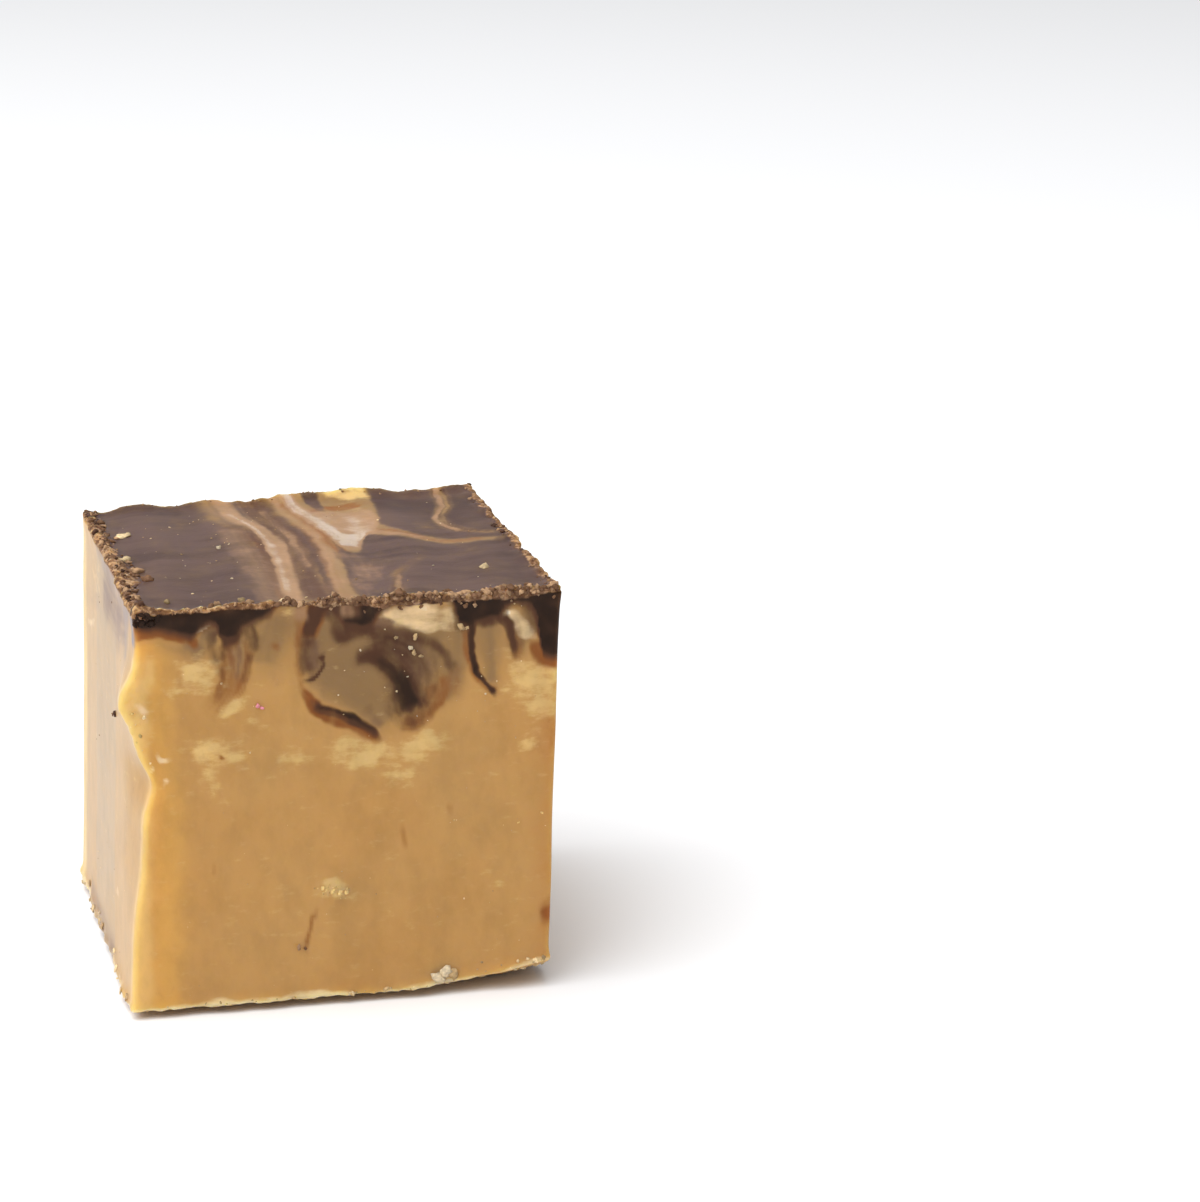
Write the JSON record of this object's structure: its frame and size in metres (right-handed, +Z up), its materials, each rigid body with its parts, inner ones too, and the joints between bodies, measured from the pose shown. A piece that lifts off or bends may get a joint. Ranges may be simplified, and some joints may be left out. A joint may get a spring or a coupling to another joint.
{
  "type": "fudge cube",
  "caption": "Hand-cut cube of caramel fudge with a dark chocolate layer swirled into its top; sits flat on its base as a sweet for a plate, box or counter.",
  "frame": {"origin": "middle of the base, on the surface that the cube stands on", "axes": "+Z up, +X to the right when facing the swirled cut face, which looks towards -Y"},
  "size_m": [0.0274, 0.0278, 0.0261],
  "materials": {
    "caramel_fudge": "satin, faintly translucent cut caramel fudge",
    "chocolate": "satin dark chocolate with lighter swirls"
  },
  "bodies": {
    "root": {"caramel_body": "caramel_fudge", "chocolate_top": "chocolate"}
  },
  "joints": []
}
